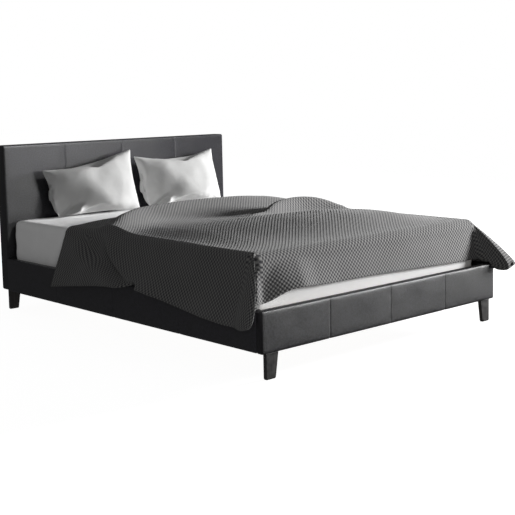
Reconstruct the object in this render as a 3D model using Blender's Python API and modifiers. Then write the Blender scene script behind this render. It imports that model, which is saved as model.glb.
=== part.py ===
"""A low upholstered platform bed with its mattress, two pillows and a draped coverlet.

The bed stands on the floor at z = 0 with its headboard towards +Y. Sizes are in metres.
"""

import math

import bmesh
import bpy
from mathutils import Matrix, Vector

# Mattress, which sets the size of the frame round it
MATTRESS_WIDTH = 1.53
MATTRESS_LENGTH = 2.02
MATTRESS_THICKNESS = 0.270
MATTRESS_EDGE = 0.025
MATTRESS_SIDE_GAP = 0.007
MATTRESS_HEAD_GAP = 0.010
MATTRESS_FOOT_GAP = 0.052

# Rails
FRAME_UNDERSIDE = 0.113
RAIL_HEIGHT = 0.183
RAIL_THICKNESS = 0.038
RAIL_COVER = 0.005           # foam-backed leather
RAIL_LIP = RAIL_THICKNESS - 0.008  # cover turned onto the inner face
RAIL_EDGE = 0.008

# Headboard
HEADBOARD_INSET = 0.010      # from the frame's side
HEADBOARD_TOP = 0.93
HEADBOARD_THICKNESS = 0.086
HEADBOARD_COVER = 0.003
HEADBOARD_FOAM = 0.019
HEADBOARD_PANEL = 0.012
HEADBOARD_BATTEN = 0.065
HEADBOARD_EDGE = 0.012
HEADBOARD_LIP = 0.035
LINING_THICKNESS = 0.001

# Corner legs
LEG_TOP_WIDTH = 0.070
LEG_FOOT_WIDTH = 0.053
LEG_DEPTH = 0.020
LEG_INSET = 0.030            # from the frame's side to the leg's upright face
LEG_SETBACK = 0.009          # from the foot rail's front
GLIDE_HEIGHT = 0.003
GLIDE_MARGIN = 0.002
LEG_STUD_RADIUS = 0.004
LEG_STUD_LENGTH = 0.060

# Slats and their supports
LEDGE_HEIGHT = 0.030
LEDGE_DEPTH = 0.030
LEDGE_DROP = 0.071           # rail's top down to ledge's top
LEDGE_END_CLEARANCE = 0.062  # leaves room for the corner brackets
SLAT_COUNT = 12
SLAT_WIDTH = 0.065
SLAT_THICKNESS = 0.015
SLAT_SIDE_GAP = 0.005
SLAT_END_MARGIN = 0.030
STRAP_WIDTH = 0.025
STRAP_THICKNESS = 0.0015
STRAP_OFFSET = 0.40
CENTRE_RAIL_WIDTH = 0.030
CENTRE_RAIL_HEIGHT = 0.060
CENTRE_LEG_WIDTH = 0.045
CENTRE_LEG_COUNT = 2

# Steel fittings
PLATE = 0.003
BRACKET_REACH = 0.050
BRACKET_MARGIN = 0.004
HANGER_WIDTH = 0.060
HANGER_SHELF = 0.040
BOLT_RADIUS = 0.004
BOLT_HEAD_RADIUS = 0.0085
BOLT_HEAD_HEIGHT = 0.004
BOLT_END_MARGIN = 0.006      # wood left past a bolt's end
BOLT_CLEARANCE = 0.0004

# Bedding
PILLOW_WIDTH = 0.62
PILLOW_HEIGHT = 0.38
PILLOW_THICKNESS = 0.14
PILLOW_LEAN = math.radians(18)
PILLOW_RIM = 0.30            # rim's thickness as a share of the middle's
PILLOW_BETWEEN = 0.015
PILLOWS_SHIFT = 0.0275       # the pair lies a little right of the middle
PILLOW_CLEARANCE = 0.003
COVERLET_THICKNESS = 0.012
COVERLET_HEAD_OPEN = 0.400   # mattress left bare at the head
COVERLET_CLEARANCE = 0.001
COVERLET_SIDE_OUT = 0.038    # hem's distance outside the frame's side
COVERLET_SIDE_DROP = 0.071   # hem below the rail's top
COVERLET_FOOT_RISE = 0.034   # hem above the rail's top
COVERLET_TIP_RISE = 0.009
COVERLET_TIP_FORWARD = 0.030 # corner tips in front of the foot rail
COVERLET_RAIL_GAP = 0.006    # from the side rail's face to the cloth's inner face
COVERLET_KNEE_RISE = 0.045   # bend in the side drop above the rail's top
COVERLET_FOOT_KNEE_RISE = 0.060  # bend at the foot above the side's bend
COVERLET_KNEE_OUT = 0.015    # foot drop at its bend, in front of the mattress
COVERLET_FOOT_OUT = 0.030    # foot hem in front of the mattress
COVERLET_CORNER_OUT = 0.045  # corner at the bend, in front of the mattress
COVERLET_CORNER_RUN = 0.120  # length of side or foot taken up by a corner
COVERLET_EDGE_SHARE = 0.3    # of the mattress edge radius kept round at the top

GAP = 0.0003                 # between pieces that touch
PAST = 0.010                 # how far a cutter runs past what it cuts

# Derived planes. The bed is centred on the origin, coverlet tips to headboard back.
FRAME_WIDTH = MATTRESS_WIDTH + 2 * (MATTRESS_SIDE_GAP + RAIL_THICKNESS)
FRAME_LENGTH = RAIL_THICKNESS + MATTRESS_FOOT_GAP + MATTRESS_LENGTH + MATTRESS_HEAD_GAP
HALF_WIDTH = FRAME_WIDTH / 2
OVERALL_LENGTH = COVERLET_TIP_FORWARD + FRAME_LENGTH + HEADBOARD_THICKNESS
TIP_Y = -OVERALL_LENGTH / 2
FOOT_Y = TIP_Y + COVERLET_TIP_FORWARD
HEAD_Y = FOOT_Y + FRAME_LENGTH
RAIL_TOP = FRAME_UNDERSIDE + RAIL_HEIGHT
LEDGE_TOP = RAIL_TOP - LEDGE_DROP
SLAT_BOTTOM = LEDGE_TOP + GAP
MATTRESS_BOTTOM = SLAT_BOTTOM + SLAT_THICKNESS + GAP
MATTRESS_TOP = MATTRESS_BOTTOM + MATTRESS_THICKNESS
MATTRESS_HEAD = HEAD_Y - MATTRESS_HEAD_GAP
MATTRESS_FOOT = MATTRESS_HEAD - MATTRESS_LENGTH
BOARD_INNER_X = HALF_WIDTH - RAIL_THICKNESS + RAIL_COVER
BOARD_INNER_Y = FOOT_Y + RAIL_THICKNESS - RAIL_COVER
RAIL_START = FOOT_Y + RAIL_THICKNESS + GAP
RAIL_END = HEAD_Y - GAP

for old in list(bpy.data.objects):
    bpy.data.objects.remove(old, do_unlink=True)

bed = bpy.data.collections.new("upholstered_bed")
helpers = bpy.data.collections.new("cutters")
helpers.hide_render = True
bpy.context.scene.collection.children.link(bed)
bpy.context.scene.collection.children.link(helpers)


def material(name, colour, roughness, metallic=0.0):
    made = bpy.data.materials.new(name)
    made.use_nodes = True
    shader = made.node_tree.nodes["Principled BSDF"]
    shader.inputs["Base Color"].default_value = (*colour, 1)
    shader.inputs["Roughness"].default_value = roughness
    shader.inputs["Metallic"].default_value = metallic
    return made


LEATHER = material("charcoal leather", (0.028, 0.028, 0.032), 0.42)
DARK_WOOD = material("black stained wood", (0.022, 0.021, 0.021), 0.40)
BOARD = material("particle board", (0.42, 0.32, 0.21), 0.80)
PINE = material("pine", (0.62, 0.46, 0.28), 0.62)
FOAM = material("foam", (0.78, 0.74, 0.60), 0.95)
LINING = material("lining cloth", (0.020, 0.020, 0.022), 0.95)
STEEL = material("zinc plated steel", (0.55, 0.56, 0.58), 0.35, 1.0)
PLASTIC = material("black plastic", (0.018, 0.018, 0.018), 0.55)
WEBBING = material("webbing", (0.70, 0.68, 0.62), 0.90)
TICKING = material("white sheet", (0.78, 0.78, 0.79), 0.92)
COTTON = material("pillow cotton", (0.68, 0.67, 0.66), 0.92)
KNIT = material("charcoal coverlet", (0.085, 0.083, 0.082), 0.93)


def add(name, mesh, finish, place=(0, 0, 0), collection=bed):
    piece = bpy.data.objects.new(name, mesh)
    piece.location = place
    collection.objects.link(piece)
    mesh.materials.append(finish)
    return piece


def mesh_from(name, build):
    """A mesh from a function that fills a bmesh."""
    shape = bmesh.new()
    build(shape)
    bmesh.ops.recalc_face_normals(shape, faces=shape.faces)
    mesh = bpy.data.meshes.new(name)
    shape.to_mesh(mesh)
    shape.free()
    return mesh


def box(name, low, high, finish, edge=0.0, segments=2, collection=bed):
    """A box between two corners, with its edges rounded by edge."""
    low, high = Vector(low), Vector(high)
    size = Matrix.Diagonal((high - low).to_4d())
    mesh = mesh_from(name, lambda shape: bmesh.ops.create_cube(shape, size=1, matrix=size))
    piece = add(name, mesh, finish, (low + high) / 2, collection)
    if edge > 0:
        rounding = piece.modifiers.new("rounded edges", "BEVEL")
        rounding.width = edge
        rounding.segments = segments
        rounding.limit_method = "ANGLE"
    return piece


def as_cutter(piece):
    piece.hide_render = True
    piece.display_type = "WIRE"
    return piece


def boolean(piece, other, operation="DIFFERENCE"):
    cut = piece.modifiers.new(other.name, "BOOLEAN")
    cut.operation = operation
    cut.object = other


def cutting_box(name, low, high, edge=0.0):
    return as_cutter(box(name, low, high, PLASTIC, edge, collection=helpers))


def drill(name, centre, direction, radius, length):
    """A cutting cylinder that starts at centre and runs along direction."""
    direction = Vector(direction)
    turn = direction.to_track_quat("Z", "Y").to_matrix().to_4x4()
    move = Matrix.Translation((0, 0, length / 2))
    mesh = mesh_from(name, lambda shape: bmesh.ops.create_cone(
        shape, cap_ends=True, segments=16, radius1=radius, radius2=radius,
        depth=length, matrix=turn @ move))
    return as_cutter(add(name, mesh, PLASTIC, centre, helpers))


def turned(name, profile, finish, place, direction):
    """A round piece turned about its own Z axis, which points along direction."""
    mesh = bpy.data.meshes.new(name)
    points = [(radius, 0, height) for radius, height in profile]
    mesh.from_pydata(points, [(i, i + 1) for i in range(len(points) - 1)], [])
    piece = add(name, mesh, finish, place)
    piece.rotation_euler = Vector(direction).to_track_quat("Z", "Y").to_euler()
    spin = piece.modifiers.new("turning", "SCREW")
    spin.steps = spin.render_steps = 16
    spin.use_merge_vertices = True
    spin.merge_threshold = 0.0001
    spin.use_smooth_shade = False
    return piece


def bolt(name, place, direction, length):
    """A pan head bolt. place is under its head, and direction points from shank to head."""
    profile = [
        (0, BOLT_HEAD_HEIGHT),
        (BOLT_HEAD_RADIUS * 0.8, BOLT_HEAD_HEIGHT),
        (BOLT_HEAD_RADIUS, BOLT_HEAD_HEIGHT * 0.4),
        (BOLT_HEAD_RADIUS, 0),
        (BOLT_RADIUS, 0),
        (BOLT_RADIUS, -length),
        (0, -length),
    ]
    return turned(name, profile, STEEL, place, direction)


def cover(name, low, high, wall, lip, edge, open_axis, open_side, through=None):
    """A fitted leather cover: a box shell whose back is open inside a turned-in lip.

    open_side is 1 or -1 along open_axis. through names an axis along which the shell's ends are open too.
    """
    low, high = Vector(low), Vector(high)
    shell = box(name, low, high, LEATHER, edge, 3)
    hollow_low = low + Vector((wall, wall, wall))
    hollow_high = high - Vector((wall, wall, wall))
    mouth_low = low + Vector((lip, lip, lip))
    mouth_high = high - Vector((lip, lip, lip))
    middle = (low[open_axis] + high[open_axis]) / 2
    if open_side > 0:
        mouth_low[open_axis] = middle
        mouth_high[open_axis] = high[open_axis] + PAST
    else:
        mouth_low[open_axis] = low[open_axis] - PAST
        mouth_high[open_axis] = middle
    if through is not None:
        for corner in (hollow_low, mouth_low):
            corner[through] = low[through] - PAST
        for corner in (hollow_high, mouth_high):
            corner[through] = high[through] + PAST
    boolean(shell, cutting_box(name + "_hollow", hollow_low, hollow_high, max(edge - wall, 0)))
    boolean(shell, cutting_box(name + "_mouth", mouth_low, mouth_high))
    return shell


def angle_plate(name, low, high, other_low, other_high):
    """A bent steel plate, as two plates joined into one body."""
    plate = box(name, low, high, STEEL)
    flange = as_cutter(box(name + "_flange", other_low, other_high, STEEL, collection=helpers))
    boolean(plate, flange, "UNION")
    return plate


def headboard():
    """Plywood panel on a batten frame, foam in front, a leather cover round all and a cloth back."""
    half = HALF_WIDTH - HEADBOARD_INSET
    wall = HEADBOARD_COVER
    back = HEAD_Y + HEADBOARD_THICKNESS
    low = (-half, HEAD_Y, FRAME_UNDERSIDE)
    high = (half, back, HEADBOARD_TOP)
    skin = cover("headboard_cover", low, high, wall, HEADBOARD_LIP, HEADBOARD_EDGE, 1, 1)
    rounding = HEADBOARD_EDGE - wall
    snug = wall + GAP
    square = snug + 0.3 * rounding       # lets a square corner sit inside the cover's rounded one
    inner = half - square
    bottom = FRAME_UNDERSIDE + square
    top = HEADBOARD_TOP - square
    foam_y = HEAD_Y + wall + GAP
    panel_y = foam_y + HEADBOARD_FOAM + GAP
    batten_y = panel_y + HEADBOARD_PANEL + GAP
    batten_back = back - snug - rounding
    foam = box("headboard_foam", (snug - half, foam_y, FRAME_UNDERSIDE + snug),
               (half - snug, foam_y + HEADBOARD_FOAM, HEADBOARD_TOP - snug), FOAM, rounding)
    panel = box("headboard_panel", (-inner, panel_y, bottom),
                (inner, panel_y + HEADBOARD_PANEL, top), BOARD)
    lower = box("headboard_bottom_batten", (-inner, batten_y, bottom),
                (inner, batten_back, bottom + HEADBOARD_BATTEN), PINE)
    box("headboard_top_batten", (-inner, batten_y, top - HEADBOARD_BATTEN),
        (inner, batten_back, top), PINE)
    posts = {}
    for side, word in ((-1, "left"), (1, "right")):
        edges = sorted((side * inner, side * (inner - HEADBOARD_BATTEN)))
        posts[side] = box(
            f"headboard_post_{word}",
            (edges[0], batten_y, bottom + HEADBOARD_BATTEN + GAP),
            (edges[1], batten_back, top - HEADBOARD_BATTEN - GAP), PINE)
    lining_half = half - HEADBOARD_LIP - GAP
    lining_y = back - wall + GAP
    box("headboard_lining",
        (-lining_half, lining_y, FRAME_UNDERSIDE + HEADBOARD_LIP + GAP),
        (lining_half, lining_y + LINING_THICKNESS, HEADBOARD_TOP - HEADBOARD_LIP - GAP), LINING)
    return {"cover": skin, "foam": foam, "panel": panel, "lower": lower, "posts": posts,
            "batten_y": batten_y, "batten_back": batten_back}


def side_rail(side, word):
    """A board wrapped in foam-backed leather, with a pine ledge for the slats."""
    outer = side * HALF_WIDTH
    inner = side * (HALF_WIDTH - RAIL_THICKNESS)
    xs = sorted((outer, inner))
    cover(f"side_rail_cover_{word}", (xs[0], RAIL_START, FRAME_UNDERSIDE),
          (xs[1], RAIL_END, RAIL_TOP), RAIL_COVER, RAIL_LIP, RAIL_EDGE, 0, -side, through=1)
    wall = RAIL_COVER + GAP
    xs = sorted((side * (HALF_WIDTH - wall), side * (BOARD_INNER_X + GAP)))
    box(f"side_rail_board_{word}", (xs[0], RAIL_START, FRAME_UNDERSIDE + wall),
        (xs[1], RAIL_END, RAIL_TOP - wall), BOARD, RAIL_EDGE - RAIL_COVER)
    xs = sorted((side * BOARD_INNER_X, side * (BOARD_INNER_X - LEDGE_DEPTH)))
    box(f"slat_ledge_{word}", (xs[0], RAIL_START + LEDGE_END_CLEARANCE, LEDGE_TOP - LEDGE_HEIGHT),
        (xs[1], RAIL_END - LEDGE_END_CLEARANCE, LEDGE_TOP), PINE)


def foot_rail():
    """The board across the foot, covered on its front, ends and edges."""
    skin = cover("foot_rail_cover", (-HALF_WIDTH, FOOT_Y, FRAME_UNDERSIDE),
                 (HALF_WIDTH, FOOT_Y + RAIL_THICKNESS, RAIL_TOP),
                 RAIL_COVER, RAIL_LIP, RAIL_EDGE, 1, 1)
    wall = RAIL_COVER + GAP
    board = box("foot_rail_board", (-HALF_WIDTH + wall, FOOT_Y + wall, FRAME_UNDERSIDE + wall),
                (HALF_WIDTH - wall, BOARD_INNER_Y - GAP, RAIL_TOP - wall),
                BOARD, RAIL_EDGE - RAIL_COVER)
    return skin, board


def corner_fittings(board, head):
    """Steel angles that bolt the side rails to the foot rail and to the headboard."""
    low_z = FRAME_UNDERSIDE + RAIL_LIP + BRACKET_MARGIN
    high_z = RAIL_TOP - RAIL_LIP - BRACKET_MARGIN
    bolt_z = (low_z + high_z) / 2
    face = HEAD_Y - GAP
    foot_reach = BOARD_INNER_Y + PLATE - (FOOT_Y + RAIL_COVER) - BOLT_END_MARGIN
    head_reach = head["batten_back"] - face + PLATE - BOLT_END_MARGIN
    for side, word in ((-1, "left"), (1, "right")):
        flat = sorted((side * BOARD_INNER_X, side * (BOARD_INNER_X - BRACKET_REACH)))
        upright = sorted((side * BOARD_INNER_X, side * (BOARD_INNER_X - PLATE)))
        bolt_x = side * (BOARD_INNER_X - BRACKET_REACH / 2)
        foot = angle_plate(
            f"foot_bracket_{word}",
            (flat[0], BOARD_INNER_Y, low_z), (flat[1], BOARD_INNER_Y + PLATE, high_z),
            (upright[0], BOARD_INNER_Y, low_z),
            (upright[1], BOARD_INNER_Y + BRACKET_REACH, high_z))
        hole = drill(f"foot_bolt_hole_{word}", (bolt_x, BOARD_INNER_Y + PLATE + PAST, bolt_z),
                     (0, -1, 0), BOLT_RADIUS + BOLT_CLEARANCE,
                     PAST + foot_reach + BOLT_CLEARANCE)
        boolean(foot, hole)
        boolean(board, hole)
        bolt(f"foot_bolt_{word}", (bolt_x, BOARD_INNER_Y + PLATE + GAP, bolt_z),
             (0, 1, 0), foot_reach)
        hook = angle_plate(
            f"head_bracket_{word}",
            (flat[0], face - PLATE, low_z), (flat[1], face, high_z),
            (upright[0], face - BRACKET_REACH, low_z), (upright[1], face, high_z))
        hole = drill(f"head_bolt_hole_{word}", (bolt_x, face - PLATE - PAST, bolt_z),
                     (0, 1, 0), BOLT_RADIUS + BOLT_CLEARANCE,
                     PAST + head_reach + BOLT_CLEARANCE)
        for piece in (hook, head["cover"], head["foam"], head["panel"], head["posts"][side]):
            boolean(piece, hole)
        bolt(f"head_bolt_{word}", (bolt_x, face - PLATE - GAP, bolt_z),
             (0, -1, 0), head_reach)


def leg(name, side, front_y):
    """A flat tapered wooden leg: upright outside, tapering in from the middle of the bed."""
    outer = side * (HALF_WIDTH - LEG_INSET)
    low_z = GLIDE_HEIGHT + GAP
    high_z = FRAME_UNDERSIDE - GAP
    xs = sorted((outer, outer - side * LEG_TOP_WIDTH))
    wood = box(name, (xs[0], front_y, low_z), (xs[1], front_y + LEG_DEPTH, high_z),
               DARK_WOOD, 0.0015)
    centre_x = wood.location.x
    for vertex in wood.data.vertices:
        if vertex.co.z < 0 and (vertex.co.x + centre_x - outer) * side < -LEG_FOOT_WIDTH / 2:
            vertex.co.x = outer - side * LEG_FOOT_WIDTH - centre_x
    foot = sorted((outer - side * GLIDE_MARGIN, outer - side * (LEG_FOOT_WIDTH - GLIDE_MARGIN)))
    box(name.replace("leg", "leg_glide"), (foot[0], front_y + GLIDE_MARGIN, 0),
        (foot[1], front_y + LEG_DEPTH - GLIDE_MARGIN, GLIDE_HEIGHT), PLASTIC)
    return wood


def corner_legs(foot_cover, board, head):
    """Four legs, each held by a threaded stud between the leg and the board above it."""
    rows = (
        ("front", FOOT_Y + LEG_SETBACK, (foot_cover, board)),
        ("rear", head["batten_y"], (head["cover"], head["lower"])),
    )
    for row, front_y, above in rows:
        for side, word in ((-1, "left"), (1, "right")):
            wood = leg(f"leg_{row}_{word}", side, front_y)
            stud_x = side * (HALF_WIDTH - LEG_INSET - LEG_TOP_WIDTH / 2)
            start = FRAME_UNDERSIDE - LEG_STUD_LENGTH / 2
            hole = drill(f"leg_stud_hole_{row}_{word}",
                         (stud_x, front_y + LEG_DEPTH / 2, start - BOLT_CLEARANCE), (0, 0, 1),
                         LEG_STUD_RADIUS + BOLT_CLEARANCE, LEG_STUD_LENGTH + 2 * BOLT_CLEARANCE)
            for piece in (wood, *above):
                boolean(piece, hole)
            stud = [(0, LEG_STUD_LENGTH), (LEG_STUD_RADIUS, LEG_STUD_LENGTH),
                    (LEG_STUD_RADIUS, 0), (0, 0)]
            turned(f"leg_stud_{row}_{word}", stud, STEEL,
                   (stud_x, front_y + LEG_DEPTH / 2, start), (0, 0, 1))


def centre_support():
    """A pine rail down the middle on two legs, hung from a steel hanger at each end."""
    half = CENTRE_RAIL_WIDTH / 2
    bottom = LEDGE_TOP - CENTRE_RAIL_HEIGHT
    foot_end = BOARD_INNER_Y + PLATE + GAP
    head_end = HEAD_Y - GAP - PLATE - GAP
    box("centre_rail", (-half, foot_end, bottom), (half, head_end, LEDGE_TOP), PINE, 0.002)
    shelf_top = bottom - GAP
    for name, face, inward in (("centre_hanger_foot", BOARD_INNER_Y, 1),
                               ("centre_hanger_head", HEAD_Y - GAP, -1)):
        plate = sorted((face, face + inward * PLATE))
        shelf = sorted((face, face + inward * HANGER_SHELF))
        angle_plate(name, (-HANGER_WIDTH / 2, plate[0], shelf_top - PLATE),
                    (HANGER_WIDTH / 2, plate[1], LEDGE_TOP),
                    (-HANGER_WIDTH / 2, shelf[0], shelf_top - PLATE),
                    (HANGER_WIDTH / 2, shelf[1], shelf_top))
    span = head_end - foot_end
    for number in range(CENTRE_LEG_COUNT):
        centre_y = foot_end + span * (number + 1) / (CENTRE_LEG_COUNT + 1)
        reach = CENTRE_LEG_WIDTH / 2
        box(f"centre_leg_{number + 1}", (-reach, centre_y - reach, 0),
            (reach, centre_y + reach, shelf_top), PINE, 0.002)


def slats():
    """Loose pine slats on the ledges, spaced by two webbing straps stapled underneath."""
    half = BOARD_INNER_X - SLAT_SIDE_GAP
    first = FOOT_Y + RAIL_THICKNESS + SLAT_END_MARGIN
    last = HEAD_Y - SLAT_END_MARGIN - SLAT_WIDTH
    for number in range(SLAT_COUNT):
        start = first + (last - first) * number / (SLAT_COUNT - 1)
        box(f"slat_{number + 1:02d}", (-half, start, SLAT_BOTTOM),
            (half, start + SLAT_WIDTH, SLAT_BOTTOM + SLAT_THICKNESS), PINE, 0.002, 1)
    for side, word in ((-1, "left"), (1, "right")):
        centre = side * STRAP_OFFSET
        box(f"slat_strap_{word}",
            (centre - STRAP_WIDTH / 2, first, SLAT_BOTTOM - GAP - STRAP_THICKNESS),
            (centre + STRAP_WIDTH / 2, last + SLAT_WIDTH, SLAT_BOTTOM - GAP), WEBBING)


def mattress():
    box("mattress", (-MATTRESS_WIDTH / 2, MATTRESS_FOOT, MATTRESS_BOTTOM),
        (MATTRESS_WIDTH / 2, MATTRESS_HEAD, MATTRESS_TOP), TICKING, MATTRESS_EDGE, 3)


def pillow(name, centre_x):
    """A soft pillow, thick in the middle and thin at its rim, leaning on the headboard."""
    half = Vector((PILLOW_WIDTH, PILLOW_THICKNESS, PILLOW_HEIGHT)) / 2

    def build(shape):
        bmesh.ops.create_cube(shape, size=2)
        bmesh.ops.subdivide_edges(shape, edges=shape.edges, cuts=3, use_grid_fill=True)
        for vertex in shape.verts:
            x, y, z = vertex.co
            rim = max(abs(x), abs(z)) ** 4
            vertex.co = (x * half.x, y * half.y * (1 - (1 - PILLOW_RIM) * rim), z * half.z)

    piece = add(name, mesh_from(name, build), COTTON)
    soft = piece.modifiers.new("soft", "SUBSURF")
    soft.levels = soft.render_levels = 1
    depth = half.y * math.cos(PILLOW_LEAN) + half.z * math.sin(PILLOW_LEAN)
    rise = half.z * math.cos(PILLOW_LEAN) + half.y * PILLOW_RIM * math.sin(PILLOW_LEAN)
    piece.rotation_euler.x = -PILLOW_LEAN
    piece.location = (centre_x, HEAD_Y - PILLOW_CLEARANCE - depth,
                      MATTRESS_TOP + PILLOW_CLEARANCE + rise)
    for face in piece.data.polygons:
        face.use_smooth = True


def drape_ring(side_x, side_z, foot_y, foot_z, tip):
    """One U-shaped line round the bed's sides and foot, from head left to head right."""
    head_y = MATTRESS_HEAD - COVERLET_HEAD_OPEN
    steps = 6
    side_start = MATTRESS_FOOT + COVERLET_CORNER_RUN
    left = []
    for number in range(steps + 1):
        y = head_y + (side_start - head_y) * number / steps
        left.append(Vector((-side_x, y, side_z)))
    left.append(Vector((-tip[0], tip[1], tip[2])))
    foot_x = MATTRESS_WIDTH / 2 - COVERLET_CORNER_RUN
    foot = []
    for number in range(steps + 1):
        foot.append(Vector((-foot_x + 2 * foot_x * number / steps, foot_y, foot_z)))
    right = [Vector((-p.x, p.y, p.z)) for p in reversed(left)]
    return left + foot + right


def coverlet():
    """A thick coverlet laid over the mattress. It hangs outside the side rails and above the foot rail."""
    hem_x = HALF_WIDTH + COVERLET_SIDE_OUT
    bed_half = MATTRESS_WIDTH / 2
    rail_side = HALF_WIDTH + COVERLET_RAIL_GAP
    knee = RAIL_TOP + COVERLET_KNEE_RISE
    foot_knee = knee + COVERLET_FOOT_KNEE_RISE
    edge = COVERLET_EDGE_SHARE * MATTRESS_EDGE
    t = COVERLET_THICKNESS

    def rings(out):
        top = MATTRESS_TOP + COVERLET_CLEARANCE + out
        side = bed_half + COVERLET_CLEARANCE
        front = MATTRESS_FOOT - COVERLET_CLEARANCE
        tip_y = TIP_Y + t - out
        return [
            drape_ring(side - edge, top, front + edge, top, (side - edge, front + edge, top)),
            drape_ring(side + out, top - edge - out, front - out, top - edge - out,
                       (side + out, front - out, top - edge - out)),
            drape_ring(rail_side + out, knee, front - COVERLET_KNEE_OUT - out, foot_knee,
                       (rail_side + out, front - COVERLET_CORNER_OUT - out, knee)),
            drape_ring(hem_x + out, RAIL_TOP - COVERLET_SIDE_DROP,
                       front - COVERLET_FOOT_OUT - out, RAIL_TOP + COVERLET_FOOT_RISE,
                       (hem_x + out, tip_y, RAIL_TOP + COVERLET_TIP_RISE)),
        ]

    def build(shape):
        lines = [[shape.verts.new(p) for p in ring] for ring in rings(t)]
        lines += [[shape.verts.new(p) for p in ring] for ring in reversed(rings(0))]
        for upper, lower in zip(lines, lines[1:]):
            for i in range(len(upper) - 1):
                shape.faces.new((upper[i], upper[i + 1], lower[i + 1], lower[i]))
        shape.faces.new(lines[0])
        shape.faces.new(lines[-1])
        left_ends = [line[0] for line in lines]
        right_ends = [line[-1] for line in lines]
        shape.faces.new(left_ends + right_ends[::-1])

    piece = add("coverlet", mesh_from("coverlet", build), KNIT)
    for face in piece.data.polygons:
        face.use_smooth = True


head_pieces = headboard()
foot_cover_piece, foot_board_piece = foot_rail()
side_rail(-1, "left")
side_rail(1, "right")
corner_fittings(foot_board_piece, head_pieces)
corner_legs(foot_cover_piece, foot_board_piece, head_pieces)
centre_support()
slats()
mattress()
for pillow_side, pillow_name in ((-1, "pillow_left"), (1, "pillow_right")):
    pillow(pillow_name, PILLOWS_SHIFT + pillow_side * (PILLOW_WIDTH + PILLOW_BETWEEN) / 2)
coverlet()
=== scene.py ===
import math

import bpy
import numpy as np
from mathutils import Matrix, Vector, noise


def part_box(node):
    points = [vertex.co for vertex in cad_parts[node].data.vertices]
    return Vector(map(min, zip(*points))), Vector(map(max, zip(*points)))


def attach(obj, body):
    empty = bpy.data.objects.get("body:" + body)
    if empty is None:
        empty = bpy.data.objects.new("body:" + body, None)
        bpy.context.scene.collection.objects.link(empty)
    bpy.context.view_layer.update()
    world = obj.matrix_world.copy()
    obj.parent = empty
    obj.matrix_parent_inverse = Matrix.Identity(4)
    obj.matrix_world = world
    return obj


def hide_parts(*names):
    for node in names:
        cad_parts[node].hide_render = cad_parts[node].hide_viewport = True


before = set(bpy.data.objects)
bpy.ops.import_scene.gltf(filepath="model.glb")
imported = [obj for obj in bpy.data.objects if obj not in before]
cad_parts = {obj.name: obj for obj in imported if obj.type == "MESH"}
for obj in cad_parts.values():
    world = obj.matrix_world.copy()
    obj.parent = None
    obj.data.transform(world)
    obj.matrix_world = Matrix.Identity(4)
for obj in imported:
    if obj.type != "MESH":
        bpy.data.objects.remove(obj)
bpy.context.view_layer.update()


# The room: a pale floor that stays white, a pale sky for fill, and one low key lamp at the right.
# The lamps that light only some of the pieces are set up in those pieces' own sections.
# The camera stands at the left of the foot, a little above the headboard's top.
CAMERA_PLACE = (-3.612, -4.1814, 1.1816)
CAMERA_TURN = math.radians(-42.074)
CAMERA_DIP = math.radians(6.133)
CAMERA_ROLL = math.radians(-1.221)
CAMERA_LENS = 72.37
CAMERA_SHIFT = -0.1
LAMP_AIM = Vector((0, 0, 0.4))
LAMP_REACH = 6.0
SKY_FILL, SKY_SHEEN, SKY_SEEN = 0.15, 0.07, 1.0
FLOOR_REACH = 30.0

camera = bpy.data.objects.new("camera", bpy.data.cameras.new("camera"))
camera.matrix_world = (
    Matrix.Translation(CAMERA_PLACE) @ Matrix.Rotation(CAMERA_TURN, 4, "Z")
    @ Matrix.Rotation(math.pi / 2 - CAMERA_DIP, 4, "X") @ Matrix.Rotation(CAMERA_ROLL, 4, "Z"))
camera.data.lens = CAMERA_LENS
camera.data.shift_y = CAMERA_SHIFT
bpy.context.scene.collection.objects.link(camera)
bpy.context.scene.camera = camera
bpy.context.scene.view_settings.view_transform = "Standard"


def lamp(name, azimuth, elevation, distance, size, watts):
    """A square lamp aimed at the bed. azimuth turns in degrees from the foot towards the right."""
    azimuth, elevation = math.radians(azimuth), math.radians(elevation)
    towards = Vector((math.sin(azimuth) * math.cos(elevation),
                      -math.cos(azimuth) * math.cos(elevation), math.sin(elevation)))
    light = bpy.data.objects.new(name, bpy.data.lights.new(name, "AREA"))
    light.data.size = size
    light.data.energy = watts
    light.location = LAMP_AIM + towards * distance
    light.rotation_euler = towards.to_track_quat("Z", "Y").to_euler()
    bpy.context.scene.collection.objects.link(light)
    return light


key = lamp("key", 74, 12, LAMP_REACH, 1.2, 780)
key.visible_glossy = False


class Wire:
    """A shader node's output. Arithmetic on it adds Math nodes, or Vector Math on a vector."""

    def __init__(self, nodes, socket):
        self.nodes, self.socket = nodes, socket

    def worked(self, operation, *values):
        flat = all(v.socket.type == "VALUE" if isinstance(v, Wire) else not hasattr(v, "__len__")
                   for v in values)
        kind = "Math" if flat else "VectorMath"
        return self.nodes.node(kind, {"operation": operation}, dict(enumerate(values)))

    def __add__(self, other):
        return self.worked("ADD", self, other)

    def __radd__(self, other):
        return self.worked("ADD", other, self)

    def __mul__(self, other):
        return self.worked("MULTIPLY", self, other)

    def __rmul__(self, other):
        return self.worked("MULTIPLY", other, self)

    def __sub__(self, other):
        return self.worked("SUBTRACT", self, other)

    def __rsub__(self, other):
        return self.worked("SUBTRACT", other, self)

    def __truediv__(self, other):
        return self.worked("DIVIDE", self, other)

    def __rtruediv__(self, other):
        return self.worked("DIVIDE", other, self)

    def sine(self):
        return self.worked("SINE", self)

    def parts(self):
        """A vector's three numbers."""
        split = self.nodes.node("SeparateXYZ", {}, {0: self})
        return [Wire(self.nodes, each) for each in split.socket.node.outputs]


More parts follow.
